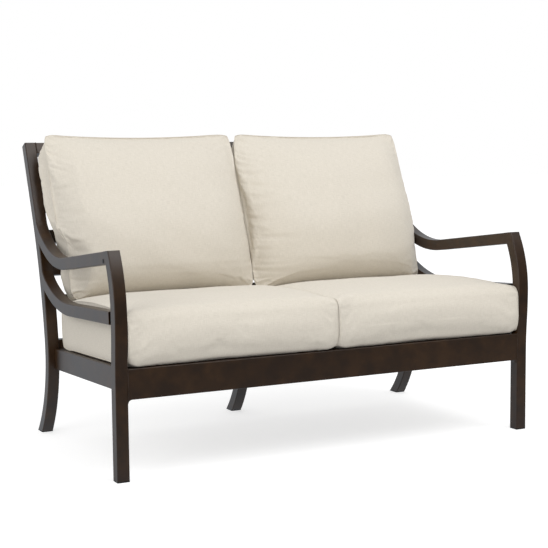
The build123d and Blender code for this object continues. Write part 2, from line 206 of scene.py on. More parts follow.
def corner_hollows(radius=0.010, front_setback=0.0006, sunk=0.0015):
    """The two hollows under the front rail: an arc of the radius tangent to the rail's underside
    and to the post, from the rail's front to its rear, closed inside the metal."""
    low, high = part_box("front_rail")
    turn = np.linspace(0, np.pi / 2, 13)
    arc = radius * (1 - np.array([np.sin(turn), np.cos(turn)]))
    hidden = np.where([turn < np.pi / 4, turn >= np.pi / 4], arc, -sunk)
    front, rear = low.y + front_setback, high.y
    points, faces, count = [], [], len(turn)
    for way in (-1, 1):
        start = len(points) * count * 4
        ring = np.stack([
            np.column_stack([way * (high.x - across), np.full(count, y), low.z - down])
            for (across, down), y in ((arc, front), (arc, rear), (hidden, rear), (hidden, front))
        ], axis=1)
        row, column = np.meshgrid(np.arange(count - 1), np.arange(4), indexing="ij")
        next_column = (column + 1) % 4
        quads = np.stack([row * 4 + column, row * 4 + next_column,
                          (row + 1) * 4 + next_column, (row + 1) * 4 + column], axis=-1).reshape(-1, 4)
        last = count * 4 - 4
        points.append(ring.reshape(-1, 3))
        faces.append(start + np.vstack([quads, [[3, 2, 1, 0], [last, last + 1, last + 2, last + 3]]]))
    points, faces = np.vstack(points), np.vstack(faces)
    pattern = points[faces.ravel(), :2]
    piece = smooth_object("front_corner_hollows", points, faces.tolist(), pattern, powder_coat)
    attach(piece, "frame")


bead_radius = 0.0018
crossing = ["front_rail", "back_rail", "top_back_rail"] + [f"back_slat_{step}" for step in range(1, 6)]
beads = [end_bead(name, 0, way) for name in crossing for way in (-1, 1)]
beads += [end_bead(f"{side}_side_rail", 1, -1) for side in ("left", "right")]
ribs("weld_beads", beads, bead_radius, "frame", powder_coat)
corner_hollows()


# Glides: polyethylene feet pushed into the five legs, and the two plugs that close
# the screw holes on the upper arms. Moulded black-brown plastic with a fine texture.
def moulded_plastic():
    """Matt moulded plastic with a fine sparked texture of about 0.4 mm."""
    material, shader = new_finish("brown_black_moulded_plastic")
    place = add_node(material, "ShaderNodeTexCoord").outputs["Object"]
    spark = add_node(material, "ShaderNodeTexVoronoi", {"Vector": place, "Scale": 2500.0})
    bump = add_node(material, "ShaderNodeBump",
                    {"Height": spark.outputs["Distance"], "Strength": 0.3, "Distance": 0.0002})
    connect(material, bump.outputs["Normal"], shader.inputs["Normal"])
    tone = add_node(material, "ShaderNodeTexNoise", {"Vector": place, "Scale": 60.0})
    colour = shades(material, tone.outputs["Fac"], (0.3, "#15110e"), (0.7, "#211b16"))
    connect(material, colour, shader.inputs["Base Color"])
    shader.inputs["Roughness"].default_value = 0.55
    return material


glide_plastic = moulded_plastic()
for name, node in nodes.items():
    if name.endswith("_glide") or name == "arm_hole_plugs":
        node.data.materials[0] = glide_plastic


# Seat cushions: a foam slab wrapped in wadding, in a cream woven acrylic cover. One
# panel wraps round the slab from front to back, and a boxing panel closes each side.
seat_half_width = 0.31705
seat_middle = 0.31735
seat_length = 0.58705
seat_thickness = 0.140
seat_crown = 0.034
seat_slope = np.radians(2.6)
seat_front = -0.42119
seat_rest = 0.30351
seam_setback = 0.0018
seam_draw = 0.0045
seam_draw_reach = 0.032
crest_square = 0.006
spare_room = 0.0035
boxing_bulge = 0.0024
middle_setback = 0.07
lower_corner_rounding = {-1: (0.012, 0.004), 1: (0.005, 0.003)}
seat_seeds = {-1: 11, 1: 41}


def calculate(material, operation, first, second):
    """Output of a sum, product or the like of two values."""
    return add_node(material, "ShaderNodeMath", {0: first, 1: second}, operation=operation).outputs["Value"]


def cream_woven_cover():
    """Plain weave of slubbed spun acrylic: matt, with a soft sheen of stray fibre. Threads lie
    0.7 mm apart; the thicker slubs, 10 to 20 mm long, are drawn 1.4 mm wide so that they show."""
    material, shader = new_finish("cream_woven_acrylic")
    flat = add_node(material, "ShaderNodeUVMap", uv_map="flat_pattern").outputs["UV"]
    threads, slubs = [], []
    for direction, stretch in (("X", (700.0, 60.0, 1.0)), ("Y", (60.0, 700.0, 1.0))):
        thread = add_node(material, "ShaderNodeTexWave",
                          {"Vector": flat, "Scale": 225.0, "Distortion": 0.6, "Detail": 2.0},
                          bands_direction=direction)
        run = add_node(material, "ShaderNodeMapping", {"Vector": flat, "Scale": stretch}).outputs["Vector"]
        slub = add_node(material, "ShaderNodeTexNoise", {"Vector": run, "Scale": 1.0, "Detail": 3.0})
        threads.append(thread.outputs["Fac"])
        slubs.append(slub.outputs["Fac"])
    weave = calculate(material, "ADD", *threads)
    slub = calculate(material, "ADD", *slubs)
    tone = calculate(material, "MULTIPLY", slub, 0.5)
    colour = shades(material, tone, (0.36, "#d1cabd"), (0.5, "#d8d1c4"), (0.64, "#ded7cb"))
    connect(material, colour, shader.inputs["Base Color"])
    height = calculate(material, "ADD", weave, slub)
    bump = add_node(material, "ShaderNodeBump", {"Height": height, "Strength": 0.25, "Distance": 0.0003})
    connect(material, bump.outputs["Normal"], shader.inputs["Normal"])
    shader.inputs["Roughness"].default_value = 0.9
    shader.inputs["Specular IOR Level"].default_value = 0.25
    shader.inputs["Sheen Weight"].default_value = 0.15
    shader.inputs["Sheen Roughness"].default_value = 0.5
    return material


cover_cloth = cream_woven_cover()


def smooth_line(points, count):
    """Points evenly spaced by length on a smooth curve through given ones: between two of them it
    is a cubic whose end slopes are central differences over the chords. The first and the last
    point only steer it."""
    points = np.asarray(points, float)
    chord = lengths_along(points[:, :2])
    slope = np.gradient(points, chord, axis=0)
    place = np.linspace(chord[1], chord[-2], 4000)
    index = np.clip(np.searchsorted(chord, place, side="right") - 1, 1, len(points) - 3)
    span = (chord[index + 1] - chord[index])[:, None]
    t = (place - chord[index])[:, None] / span
    dense = (2 * t ** 3 - 3 * t ** 2 + 1) * points[index] + (t ** 3 - 2 * t ** 2 + t) * span * slope[index]
    dense += (3 * t ** 2 - 2 * t ** 3) * points[index + 1] + (t ** 3 - t ** 2) * span * slope[index + 1]
    length = lengths_along(dense[:, :2])
    even = np.linspace(0, length[-1], count)
    return np.column_stack([np.interp(even, length, dense[:, k]) for k in range(dense.shape[1])])


def ease(value, low, high):
    """Smooth step from 0 at low to 1 at high: 3 s^2 - 2 s^3."""
    share = np.clip((value - low) / (high - low), 0, 1)
    return share * share * (3 - 2 * share)


def gathers(along, away, total, seed, spacing=0.015, height=0.0022, reach=0.03):
    """Puckers that run away from a seam: the sum of Gaussian creases, one about every spacing of
    the seam's total length. A crease at p drifts by k away and widens from its width w, so it is
    h exp(-((along - p - k away) / (w (1 + away / r)))^2) exp(-away / r)."""
    random = np.random.default_rng(seed)
    count = int(total / spacing)
    lift = np.zeros(np.broadcast(along, away).shape)
    for step in range(count):
        place = (step + random.uniform(0.1, 0.9)) * total / count
        run = reach * random.uniform(0.35, 1.5)
        width = random.uniform(0.0022, 0.0048)
        drift = random.uniform(-0.3, 0.3)
        size = height * random.uniform(0.25, 1.0) * random.choice((-1, -1, 0.6))
        offset = (along - place - drift * away + total / 2) % total - total / 2
        lift += size * np.exp(-(offset / (width * (1 + away / run))) ** 2 - away / run)
    return lift


def swell(first, second, seed, size, height):
    """Slow unevenness of stuffing: five plane waves of random heading, about one size long."""
    random = np.random.default_rng(seed)
    lift = 0
    for turn in random.uniform(0, np.pi, 5):
        wave = size * random.uniform(0.7, 1.6)
        run = first * np.cos(turn) + second * np.sin(turn)
        lift = lift + height / 2 * np.sin(2 * np.pi * run / wave + random.uniform(0, 6.28))
    return lift


def outward(grid, centre):
    """Unit normals of a grid of points, on the side away from a centre point."""
    normal = np.cross(np.gradient(grid, axis=0), np.gradient(grid, axis=1))
    normal /= np.maximum(np.linalg.norm(normal, axis=2, keepdims=True), 1e-12)
    away = np.sum(normal * (grid - centre), axis=2, keepdims=True)
    return normal * np.where(away.mean() < 0, -1, 1)


# side view from the front's fullest line over the top to the rear, then back underneath:
# shares of the length and of the thickness, and how much of the crown a point takes
seat_over_shares = [
    (0.002, 0.28, 0), (0.0, 0.46, 0), (0.001, 0.64, 0), (0.004, 0.80, 0.02), (0.012, 0.905, 0.08),
    (0.029, 0.968, 0.16), (0.065, 0.993, 0.30), (0.13, 1.0, 0.50), (0.21, 1.0, 0.69), (0.32, 1.0, 0.87),
    (0.44, 1.0, 0.98), (0.54, 1.0, 1.0), (0.66, 1.0, 0.91), (0.78, 1.0, 0.67), (0.88, 1.0, 0.37),
    (0.94, 0.995, 0.17), (0.972, 0.96, 0.06), (0.988, 0.87, 0.01), (0.997, 0.70, 0), (1.0, 0.5, 0),
    (0.998, 0.3, 0),
]
seat_under_shares = [
    (0.997, 0.70, 0), (1.0, 0.5, 0), (0.998, 0.3, 0), (0.992, 0.14, 0), (0.978, 0.03, 0), (0.95, 0, 0),
    (0.8, 0, 0), (0.5, 0, 0), (0.2, 0, 0), (0.052, 0, 0), (0.023, 0.035, 0), (0.009, 0.14, 0),
    (0.002, 0.28, 0), (0, 0.46, 0), (0.0015, 0.62, 0),
]
seat_rows, seat_columns, boxing_rings = 170, 78, 12


def seat_cushion_panels(seed, left_rounding, right_rounding):
    """Wrap and two boxing panels of a seat cushion, front at y 0 and underside at z 0.

    The wrap carries the side view (y, z) across the width u. It is drawn in along its normal:
    - towards a seam, a away, by d (1 - a / 32 mm)^2.2
    - by spare room for the stuffing away from the seams, except underneath
    - outwards, by 6 mm exp(-((y - 22) / 26)^2 - ((z - 132) / 30)^2), at its front crest near the
      seams, which squares it
    - by its rounding times (1 - a / 30 mm)^1.5 exp(-(y / 50)^2 - (z / 35)^2) at its lower front
      corners.
    Its crown falls as 1 - 0.36 |u|^7, and the puckers are added along its normal. A boxing panel
    is the end of the wrap shrunk onto the middle line of the slab's side, bulging as 1 - r^2."""
    measure = np.array([seat_length, seat_thickness, 1])
    over = smooth_line(np.array(seat_over_shares) * measure, seat_rows + 1)
    under = smooth_line(np.array(seat_under_shares) * measure, seat_rows + 1)
    line = np.vstack([over, under[1:]])
    y, z = line[:, :1], line[:, 1:2]
    around = lengths_along(line[:, :2])[:, None]
    girth = around[-1, 0]
    slope = np.gradient(line[:, :2], axis=0)
    slope[0] = slope[-1] = (line[1, :2] - line[-2, :2]) / 2
    inward = np.column_stack([slope[:, 1], -slope[:, 0]]) / np.linalg.norm(slope, axis=1)[:, None]
    closer = 1.42
    across = np.sin(np.linspace(-1, 1, seat_columns) * closer) / np.sin(closer)
    half = seat_half_width - seam_setback
    away = half * (1 - np.abs(across))
    draw = seam_draw * np.clip(1 - away / seam_draw_reach, 0, 1) ** 2.2
    draw = draw + spare_room * ease(away, 0.004, 0.06) * ease(z, 0.01, 0.04)
    crest = np.exp(-((y - 0.022) / 0.026) ** 2 - ((z - 0.132) / 0.03) ** 2)
    draw = draw - crest_square * crest * (1 - ease(away, 0.004, 0.055))
    corner = np.exp(-(y / 0.05) ** 2 - (z / 0.035) ** 2)
    rounding = np.where(across < 0, left_rounding, right_rounding)
    draw = draw + rounding * corner * np.clip(1 - away / 0.030, 0, 1) ** 1.5
    high = line[:, 2:] * seat_crown * (1 - 0.36 * np.abs(across) ** 7)
    body = line[:, None, :2] + inward[:, None, :] * draw[:, :, None]
    wrap = np.dstack([np.broadcast_to(across * half, high.shape), body[:, :, 0], body[:, :, 1] + high])
    out = np.dstack([np.zeros_like(high), np.broadcast_to(-inward[:, None, :], (*high.shape, 2))])
    left, right = (gathers(around, away, girth, seed + step, height=0.0015, reach=0.014) for step in (0, 1))
    crease = np.where(across < 0, left, right)
    on_front = ease(-y, -0.05, -0.01)
    crease += on_front * gathers(wrap[:, :, 0] + half, np.maximum(wrap[:, :, 2], 0), 2 * half, seed + 2,
                                 spacing=0.045, height=0.0009, reach=0.08)
    crease += swell(wrap[:, :, 0], around, seed + 3, 0.20, 0.0008) * ease(away, 0.01, 0.08)
    crease *= ease(away, 0.0, 0.004)
    wrap = wrap + out * crease[:, :, None]
    wrap[-1] = wrap[0]
    flat = np.dstack([wrap[:, :, 0], np.broadcast_to(around, high.shape)])
    panels = [(wrap, flat, False)]
    middle = (over[:, 0] + under[::-1, 0]) / 2
    middle = np.concatenate([middle, middle[::-1][1:]])
    middle = np.clip(middle, middle_setback, seat_length - middle_setback)
    centre = np.column_stack([middle, np.full_like(middle, 0.5 * seat_thickness)])
    shrink = np.linspace(1, 0, boxing_rings)
    for end, turn in ((0, True), (-1, False)):
        way = np.sign(across[end])
        edge = wrap[:, end, 1:]
        box = centre[:, None, :] + (edge - centre)[:, None, :] * shrink[None, :, None]
        crease = gathers(around, middle_setback * (1 - shrink), girth, seed + 5 + turn,
                         height=0.0016, reach=0.016)
        puff = boxing_bulge * (1 - shrink ** 2) + crease * ease(1 - shrink, 0, 0.06)
        grid = np.dstack([way * (half + puff), box])
        grid[:, 0] = wrap[:, end]
        grid[:, -1, 0] = way * (half + boxing_bulge)
        grid[-1] = grid[0]
        panels.append((grid, grid[:, :, 1:], turn))
    return panels


def on_seat_deck(points, side):
    """Seat cushion coordinates to the frame's: turned by the seat's slope and set on the deck."""
    x, y, z = points[..., 0], points[..., 1], points[..., 2]
    back = y * np.cos(seat_slope) + z * np.sin(seat_slope)
    up = -y * np.sin(seat_slope) + z * np.cos(seat_slope)
    return np.stack([side * seat_middle + x, seat_front + back, seat_rest + up], axis=-1)


def sewn_cover(name, panels, material, same_place=2e-6):
    """Closed mesh of panels, each (points[rows, columns, 3], flat pattern, turn over), and for each
    grid point the number of its vertex. Points that coincide share a vertex, which sews the seams:
    there a face whose two corners fall together becomes a triangle."""
    points, corners, start = [], [], 0
    for grid, flat, turn in panels:
        rows, columns = grid.shape[:2]
        first = start + np.arange(rows - 1)[:, None] * columns + np.arange(columns - 1)[None, :]
        quads = np.stack([first, first + 1, first + columns + 1, first + columns], axis=-1).reshape(-1, 4)
        points.append(grid.reshape(-1, 3))
        corners.append(quads[:, ::-1] if turn else quads)
        start += rows * columns
    points, corners = np.vstack(points), np.vstack(corners)
    pattern = np.vstack([flat.reshape(-1, 2) for grid, flat, turn in panels])
    places = np.round(points / same_place)
    kept, vertex = np.unique(places, axis=0, return_index=True, return_inverse=True)[1:]
    vertex = vertex.ravel()
    quads = vertex[corners]
    same = quads == np.roll(quads, -1, axis=1)
    whole = ~same.any(axis=1)
    pointed = same.sum(axis=1) == 1
    keep = ~same[pointed]
    faces = quads[whole].tolist() + quads[pointed][keep].reshape(-1, 3).tolist()
    used = np.concatenate([corners[whole].ravel(), corners[pointed][keep].ravel()])
    return smooth_object(name, points[kept], faces, pattern[used], material), vertex


covers = {}
for name, side in (("left", -1), ("right", 1)):
    shapes = seat_cushion_panels(seat_seeds[side], *lower_corner_rounding[side])
    panels = [(on_seat_deck(grid, side), flat, turn) for grid, flat, turn in shapes]
    cushion, vertex = sewn_cover(f"{name}_seat_cushion", panels, cover_cloth)
    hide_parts(f"{name}_seat_cushion_cover", f"{name}_seat_cushion_core")
    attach(cushion, f"{name}_seat_cushion")
    covers[cushion.name] = (cushion, panels, vertex)


# Back cushions: polyester fibre in the same cloth, a front and a back panel sewn together
# round the edge with gathered corners. They stand on the seat and lean on the slats.
back_half_width = 0.32705
back_middle = 0.32735
back_foot = 0.4341
back_centre = 0.66
back_rise = 0.480
back_depth = 0.235
back_seam_share = 0.33
back_pinch_share = 0.25
back_panel_height = 0.56
back_gather_foot = 0.42
back_seam_rise = 0.5
back_seam_width = 0.66
slat_clearance = 0.0012
seat_clearance = 0.0018
arm_clearance = 0.004
beside_arm = 0.6344
arm_overlap = {-1: 0.022, 1: 0.005}
seam_inset = {-1: (0.025, 0.0), 1: (0.003, 0.012)}
back_seeds = {-1: 71, 1: 131}


def slat_fronts(height):
    """Y of the back slats' fronts: an arc of 1.4605 m radius, then its tangent at 67.3 degrees."""
    centre_y, centre_z, radius, lean = 1.64420, 0.12410, 1.4605, np.radians(67.3)
    joint = centre_z + radius * np.cos(lean)
    arc = centre_y - np.sqrt(radius ** 2 - (np.minimum(height, joint) - centre_z) ** 2)
    return arc + np.maximum(height - joint, 0) / np.tan(lean)


def seat_crest(y):
    """Height of a seat cushion's middle line at a place in the depth: its side view interpolated."""
    along, up, high = np.array(seat_over_shares[3:-3]).T
    height = up * seat_thickness + high * seat_crown
    line = on_seat_deck(np.column_stack([0 * along, along * seat_length, height]), 1)
    return np.interp(y, line[:, 1], line[:, 2])


def arm_tops(side):
    """Places in the depth and the height of an upper arm's top there, read from its own mesh."""
    arm = nodes["left_upper_arm" if side < 0 else "right_upper_arm"].data
    points = points_of(arm)
    place = np.linspace(points[:, 1].min(), points[:, 1].max(), 40)
    near = np.abs(points[None, :, 1] - place[:, None]) < 0.02
    return place, np.where(near, points[None, :, 2], -1).max(axis=1)


def room_at_side(side, y, z):
    """How far from the middle a back cushion may reach: the posts' inner faces beside the arm,
    and further out above it, 0.6 mm for each mm that the point is above the arm's top."""
    place, top = arm_tops(side)
    over = z - np.interp(y, place, top) - arm_clearance
    return beside_arm + np.clip(over * 0.6, 0, arm_overlap[side])


# side view of the two panels from the seam underneath to the seam on top,
# as shares of the depth in front of the slats and of the rise
front_panel_shares = [
    (0.20, 0.0), (0.33, 0.0), (0.43, 0.003), (0.53, 0.013), (0.63, 0.034), (0.725, 0.070), (0.81, 0.122),
    (0.885, 0.195), (0.947, 0.290), (0.988, 0.390), (0.996, 0.49), (0.970, 0.58), (0.920, 0.67),
    (0.85, 0.775), (0.755, 0.868), (0.64, 0.935), (0.50, 0.982), (0.40, 0.997), (0.33, 1.0), (0.26, 0.995),
]
back_panel_shares = [
    (0.50, 0.0), (0.33, 0.0), (0.20, 0.003), (0.10, 0.02), (0.03, 0.07), (0.0, 0.16), (0.0, 0.32),
    (0.002, 0.50), (0.010, 0.70), (0.028, 0.84), (0.07, 0.925), (0.15, 0.975), (0.24, 0.995), (0.33, 1.0),
    (0.43, 0.993),
]
back_rows, back_columns, line_steps = 116, 112, 400


def back_puckers(x, height, steps, across, side, seed):
    """Lift of a back cushion's panel by the gathers at its four seams, harder ones on the side that
    faces left, and the distance to the nearest seam."""
    to_side = back_half_width * (1 - np.abs(across)) + 0 * height
    to_top = back_seam_rise * (1 - steps) + 0 * height
    to_bottom = back_seam_rise * steps + 0 * height
    left, right = (gathers(height - back_gather_foot, to_side, back_seam_rise, seed + step,
                           spacing=0.014, height=0.0036, reach=0.050) for step in (0, 1))
    lift = np.where(across < 0, left, right) * np.where(side * across < 0, 1.25, 0.8)
    lift += gathers(x, to_top, back_seam_width, seed + 2, spacing=0.020, height=0.0016, reach=0.026)
    lift += gathers(x, to_bottom, back_seam_width, seed + 3, spacing=0.018, height=0.002, reach=0.035)
    return lift, np.minimum(np.minimum(to_side, to_top), to_bottom)


def back_cushion_panels(side, seed):
    """Front and back panels of a back cushion, u running outwards over its width.

    The depth about the seam falls off as (1 - |u|^3)^(1/1.8) in front, with 2.4 for 3 on the side
    that faces left, and as (1 - |u|^24)^(1/3) behind. The side view's heights go over to even
    steps along the side seams as |u|^10. The top sags by 13 mm (1 - u^2) between its corners, and
    the rear's upper corners fall away below the gathered seam corners. The lowest fifth follows
    the seat, its corners lifted by 14 mm. Beside the arm the cover is held in, and on the side
    that faces left the seam is drawn in, so that the stuffing stands out behind it."""
    measure = np.array([back_depth, back_rise])
    across = np.sin(np.linspace(-1, 1, back_columns) * np.pi / 2)
    reach = np.abs(across)
    even = reach ** 10
    closer = 1.2
    steps = 0.5 + 0.5 * np.sin(np.linspace(-1, 1, back_rows) * closer)[:, None] / np.sin(closer)
    faces_left = side * across < 0
    front_power = np.where(faces_left, 2.4, 3.0)
    panels = []
    for shares, turn, power, root in ((front_panel_shares, False, front_power, 1.8),
                                      (back_panel_shares, True, 24, 3)):
        full = np.maximum(1 - reach ** power, 0) ** (1 / root)
        line = smooth_line(np.array(shares) * measure, line_steps) / measure
        deep, rise = (np.interp(steps, np.linspace(0, 1, line_steps), line[:, k]) for k in (0, 1))
        depth = back_seam_share + (deep - back_seam_share) * full
        rise = (1 - even) * rise + even * steps
        tall = 1.032 - 0.022 * reach ** 20
        tall = tall - 0.035 * (1 - across ** 2) * ease(rise, 0.4, 1.0)
        behind = np.clip((back_seam_share - depth) / back_seam_share, 0, 1)
        if turn:
            tall = tall - 0.085 * behind * ease(reach, 0.6, 0.95) * ease(rise, 0.75, 1.0)
        rise = back_pinch_share + (rise - back_pinch_share) * tall
        height = back_foot + back_rise * rise
        y = slat_fronts(height) - slat_clearance - back_depth * depth
        follow = np.clip(1 - rise / 0.2, 0, 1)
        height = height + follow * (seat_crest(y) + seat_clearance - back_foot)
        height = height + 0.014 * reach ** 24 * ease(1 - rise, 0.94, 1.0)
        y = slat_fronts(height) - slat_clearance - back_depth * depth
        wide = back_half_width * across * (1 - 0.022 * np.abs(2 * steps - 1) ** 14)
        x = back_middle + wide
        x = x - (back_middle + back_half_width - room_at_side(side, y, height)) * ease(x, 0.53, 0.6544)
        inset = seam_inset[side][0] + seam_inset[side][1] * ease(steps, 0.8, 1.0)
        inset = inset * (faces_left * np.sign(across) * ease(reach, 0.7, 1.0))
        x = x - inset * (1 - ease(behind, 0.0, 0.6))
        grid = np.dstack([side * x, y, height])
        normal = outward(grid, np.array([side * back_middle, y.mean(), back_centre]))
        lift, edge = back_puckers(x, height, steps, across, side, seed + 7 * turn)
        lift += swell(x, height, seed + 4 + turn, 0.16, 0.0016) * ease(edge, 0.01, 0.09)
        lift = lift * ease(edge, 0.0, 0.005) - spare_room * ease(edge, 0.004, 0.07)
        flat = np.dstack([x, steps * back_panel_height + 0 * height])
        panels.append((grid + normal * lift[:, :, None], flat, turn))
    front, back = panels[0][0], panels[1][0]
    back[0], back[-1], back[:, 0], back[:, -1] = front[0], front[-1], front[:, 0], front[:, -1]
    return panels


for name, side in (("left", -1), ("right", 1)):
    panels = back_cushion_panels(side, back_seeds[side])
    cushion, vertex = sewn_cover(f"{name}_back_cushion", panels, cover_cloth)
    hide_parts(f"{name}_back_cushion_cover", f"{name}_back_cushion_core")
    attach(cushion, f"{name}_back_cushion")
    covers[cushion.name] = (cushion, panels, vertex)


# Stuffing: the four covers are blown up over their foam and fibre as cloth, sewn fast
# along their seams, with spare cloth beside the seams that folds into puckers.
stuffing_steps = 20
middle_gap = 0.0003
seat_touch = 0.001


def sewn_points(name, panels, vertex):
    """Numbers of the vertices that lie on a cover's seams."""
    rows, columns = panels[0][0].shape[:2]
    grid = vertex[:rows * columns].reshape(rows, columns)
    if "seat" in name:
        return np.unique(np.concatenate([grid[:, 0], grid[:, -1]]))
    return np.unique(np.concatenate([grid[:, 0], grid[:, -1], grid[0], grid[-1]]))


def limit(value, most, soft=0.002):
    """Value held below a plane: within a soft distance of it, it nears it as 1 - exp(-x)."""
    over = value - (most - soft)
    return np.where(over > 0, most - soft * np.exp(-np.maximum(over, 0) / soft), value)


def against_neighbours(name, points):
    """Cover points held beside the other cover, the posts and the arms, above the deck or the
    seat, and in front of the slats."""
    side = -1 if name.startswith("left") else 1
    x, y, z = points[:, 0] * side, points[:, 1], points[:, 2]
    x = np.maximum(x, middle_gap)
    if "seat" in name:
        x = np.minimum(x, beside_arm)
        deck = seat_rest - (y - seat_front) * np.tan(seat_slope)
        z = -limit(-z, -deck)
    else:
        x = limit(x, room_at_side(side, y, z))
        y = limit(y, slat_fronts(z) - slat_clearance)
        z = -limit(-z, -seat_crest(y) - seat_touch)
    return np.column_stack([x * side, y, z])


for name, (cushion, panels, vertex) in covers.items():
    sewn = cushion.vertex_groups.new(name="sewn")
    sewn.add(sewn_points(name, panels, vertex).tolist(), 1.0, "REPLACE")
    cloth = cushion.modifiers.new("stuffing", "CLOTH").settings
    cloth.quality = 5
    cloth.mass = 0.3
    cloth.vertex_group_mass = "sewn"
    cloth.tension_stiffness = cloth.compression_stiffness = 12
    cloth.shear_stiffness = 4
    cloth.bending_stiffness = 0.5 if "seat" in name else 0.2
    cloth.use_pressure = True
    cloth.uniform_pressure_force = 4
    cloth.shrink_min = cloth.shrink_max = -0.004 if "seat" in name else -0.012
    cloth.effector_weights.gravity = 0
for step in range(1, stuffing_steps + 1):
    bpy.context.scene.frame_set(step)
settled = {}
for name, (cushion, panels, vertex) in covers.items():
    posed = cushion.evaluated_get(bpy.context.evaluated_depsgraph_get())
    settled[name] = points_of(posed.to_mesh())
    posed.to_mesh_clear()
bpy.context.scene.frame_set(1)
for name, (cushion, panels, vertex) in covers.items():
    cushion.modifiers.clear()
    cushion.vertex_groups.clear()
    start = points_of(cushion.data)
    move = settled[name] - start
    size = np.linalg.norm(move, axis=1, keepdims=True)
    furthest = 0.006 if "seat" in name else 0.010
    move *= furthest * np.tanh(size / furthest) / np.maximum(size, 1e-9)
    cushion.data.vertices.foreach_set("co", against_neighbours(name, start + move).ravel())
    cushion.data.update()
for cushion, panels, vertex in covers.values():
    finer = cushion.modifiers.new("finer", "SUBSURF")
    finer.levels = finer.render_levels = 1


# Seams and zips: a rib of turned seam allowance along each seam, and in the rear of the
# seat covers and the underside of the back covers a coil zip between two sewn lips.
def cover_grids(name):
    """The settled points of a cover's panels, as grids."""
    cushion, panels, vertex = covers[name]
    points, start, grids = points_of(cushion.data)[vertex], 0, []
    for grid, flat, turn in panels:
        count = grid.shape[0] * grid.shape[1]
        grids.append(points[start:start + count].reshape(grid.shape))
        start += count
    return grids


seam_radius, seam_lift, seam_tilt = 0.0013, 0.0002, 0.8
for name in covers:
    front = cover_grids(name)[0]
    if "seat" in name:
        loops = []
        for end, tilt in ((0, -seam_tilt), (-1, seam_tilt)):
            path = front[:-1, end]
            out = path - path.mean(axis=0)
            out = out / np.linalg.norm(out, axis=1, keepdims=True) + np.array([tilt, 0, 0])
            loops.append((path + seam_lift * out, out))
    else:
        path = np.vstack([front[:-1, 0], front[-1, :-1], front[:0:-1, -1], front[0, :0:-1]])
        out = path - path.mean(axis=0)
        loops = [(path, out)]
    ribs(f"{name}_seams", loops, seam_radius, name, cover_cloth)


def nylon_coil():
    """Undyed nylon monofilament of a zip's coil."""
    material, shader = new_finish("beige_nylon_coil")
    place = add_node(material, "ShaderNodeTexCoord").outputs["Object"]
    tone = add_node(material, "ShaderNodeTexNoise", {"Vector": place, "Scale": 90.0})
    colour = shades(material, tone.outputs["Fac"], (0.3, "#b6ad9c"), (0.7, "#c6beae"))
    connect(material, colour, shader.inputs["Base Color"])
    shader.inputs["Roughness"].default_value = 0.4
    return material


def lacquered_zinc():
    """Die-cast zinc slider, lacquered beige, worn dull."""
    material, shader = new_finish("lacquered_zinc")
    place = add_node(material, "ShaderNodeTexCoord").outputs["Object"]
    wear = add_node(material, "ShaderNodeTexNoise", {"Vector": place, "Scale": 500.0, "Detail": 3.0})
    colour = shades(material, wear.outputs["Fac"], (0.4, "#8d8678"), (0.65, "#a59d8e"))
    connect(material, colour, shader.inputs["Base Color"])
    shader.inputs["Metallic"].default_value = 0.6
    shader.inputs["Roughness"].default_value = 0.38
    return material


def zip_coil(path, out, radius=0.0012, pitch=0.0016):
    """Closed loop of a coil zip's wire: the helix c(s) + r (cos a b + sin a n), a = 2 pi s / pitch,
    out along the path, and straight back through its middle as the sewn-in cord."""
    turns = evenly(path, pitch / 8)
    angle = np.arange(len(turns)) * np.pi / 4
    along = np.gradient(turns, axis=0)
    along /= np.linalg.norm(along, axis=1, keepdims=True)
    cross = np.cross(along, out)
    helix = np.cos(angle)[:, None] * cross + np.sin(angle)[:, None] * out
    cord = turns[::-4]
    return np.vstack([turns + radius * helix, cord]), np.vstack([helix, np.broadcast_to(out, cord.shape)])


def rounded_block(centre, axes, half_sizes, steps=9):
    """Six sides of a rounded block: the cube's surface points q pressed to q / (sum |q|^6)^(1/6)."""
    value = np.tan(np.linspace(-1, 1, steps) * np.pi / 4)
    first, second = np.meshgrid(value, value, indexing="ij")
    sides = []
    for axis in range(3):
        for way in (-1, 1):
            cube = np.dstack(np.roll([way * np.ones_like(first), first, second], axis, axis=0))
            cube = cube / np.sum(np.abs(cube) ** 6, axis=2, keepdims=True) ** (1 / 6)
            grid = centre + (cube * half_sizes) @ axes
            sides.append((grid, np.dstack([first, second]) * 0.005, way > 0))
    return sides


